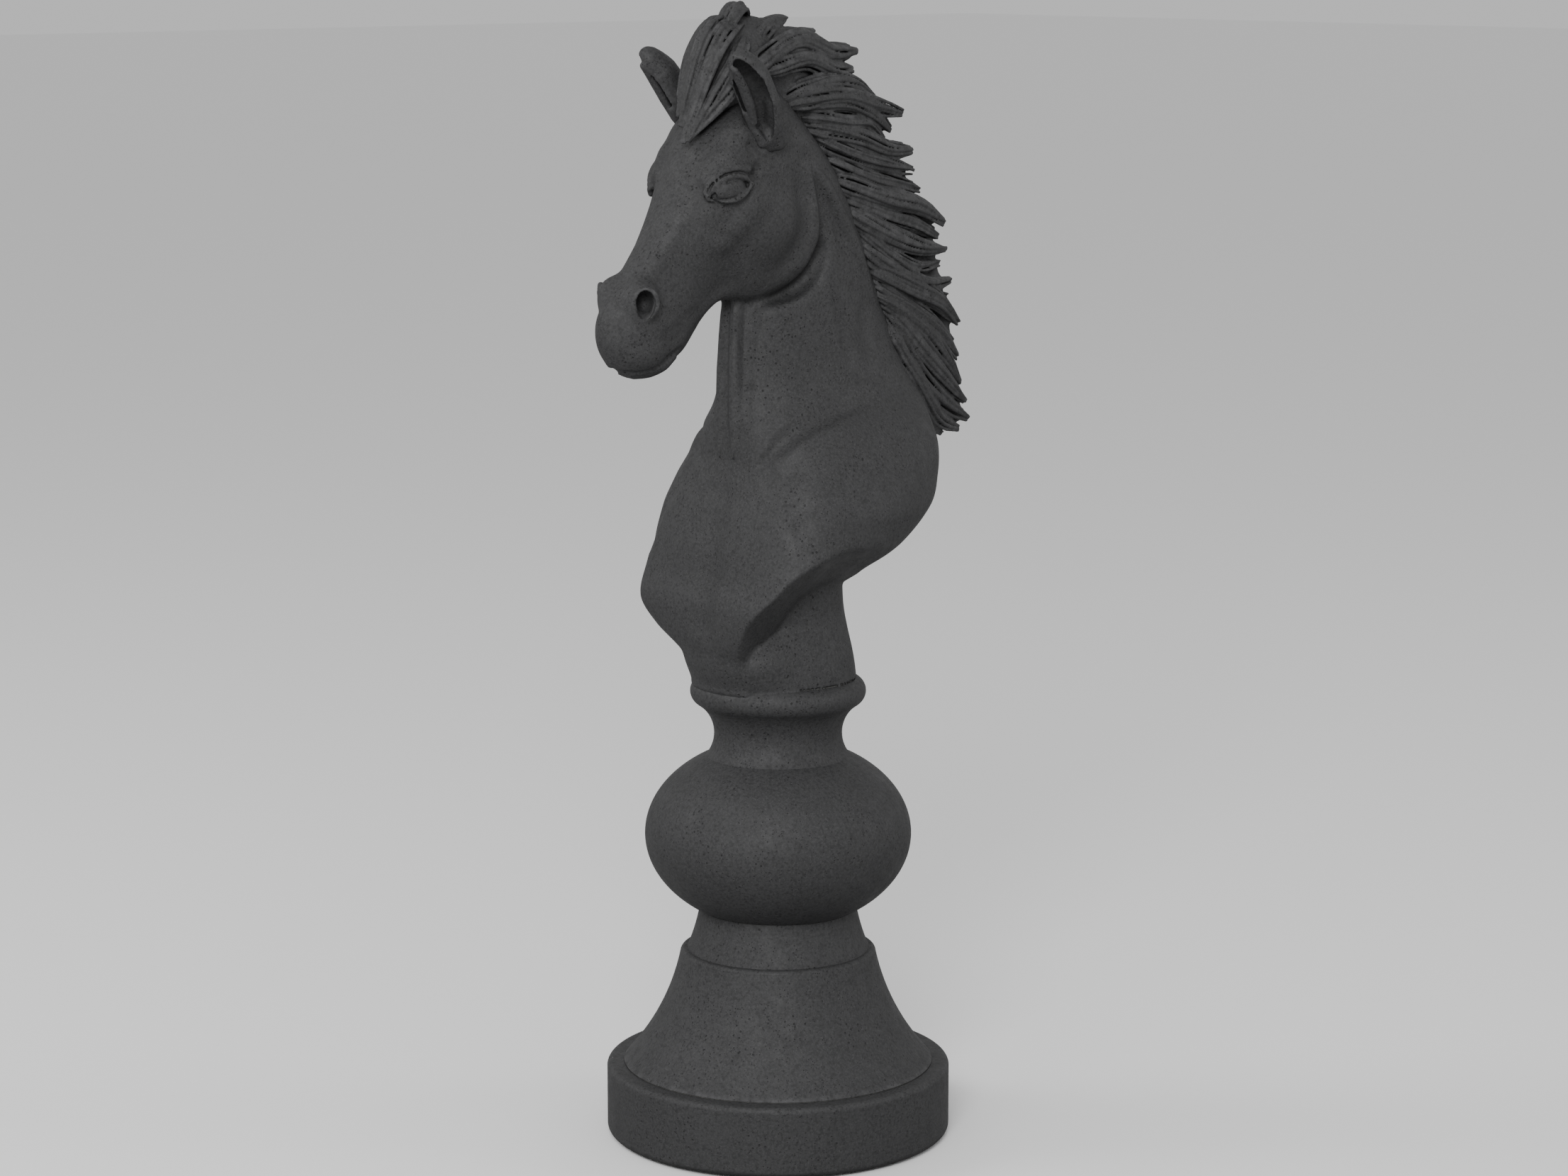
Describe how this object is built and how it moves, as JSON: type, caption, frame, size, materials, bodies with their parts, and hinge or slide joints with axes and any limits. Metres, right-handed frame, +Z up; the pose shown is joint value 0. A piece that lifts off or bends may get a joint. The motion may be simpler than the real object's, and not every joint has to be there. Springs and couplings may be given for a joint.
{
  "type": "giant chess knight",
  "caption": "Metre-tall lawn chess knight: a hollow cast horse bust with swept mane on a stacked turned pedestal, with a tie rod, ballast and a screwed filler plug underneath.",
  "frame": {"origin": "centre of the underside, on the face of the middle foot pad where the piece stands on the ground", "axes": "+Z up along the pedestal's turning axis, the horse faces -Y, +X is the horse's left"},
  "size_m": [0.311, 0.4471, 1.017],
  "materials": {
    "cast_stone": "matte charcoal fibre-reinforced cast stone with fine sandy grain and pin-holes",
    "mortar": "matte dark bedding mortar",
    "steel": "zinc-plated",
    "black_nylon": "moulded glass-filled nylon",
    "pad_rubber": "soft matte rubber",
    "ballast_sand": "dry loose sand"
  },
  "bodies": {
    "root": {"plinth": "cast_stone", "skirt": "cast_stone", "upper_cone": "cast_stone", "urn": "cast_stone", "horse_bust": "cast_stone", "mane": "cast_stone", "left_ear": "cast_stone", "right_ear": "cast_stone", "skirt_bed": "mortar", "cone_bed": "mortar", "urn_bed": "mortar", "bust_bed": "mortar", "tie_rod": "steel", "anchor_plate": "steel", "anchor_washer": "steel", "anchor_nut": "steel", "clamp_plate": "steel", "clamp_washer": "steel", "clamp_nut": "steel", "neck_armature": "steel", "mane_dowels": "steel", "ear_pins": "steel", "foot_pads": "pad_rubber", "base_plate": "black_nylon", "base_screws": "steel", "screw_anchors": "black_nylon", "filler_bush": "black_nylon", "ballast_fill": "ballast_sand"},
    "seal": {"plug_seal": "pad_rubber"},
    "plug": {"filler_plug": "black_nylon"}
  },
  "joints": [
    {"name": "plug_travel", "type": "slide", "parent": "root", "child": "seal", "axis": [0, 0, -1], "range_m": [0, 0.016]},
    {"name": "plug_unscrew", "type": "hinge", "parent": "seal", "child": "plug", "pos_m": [0, 0.072, 0.01], "axis": [0, 0, -1], "range_deg": [0, 1440]}
  ],
  "couplings": [
    {"joint": "plug_travel", "follows": "plug_unscrew", "m_per_rad": 0.00063662}
  ]
}
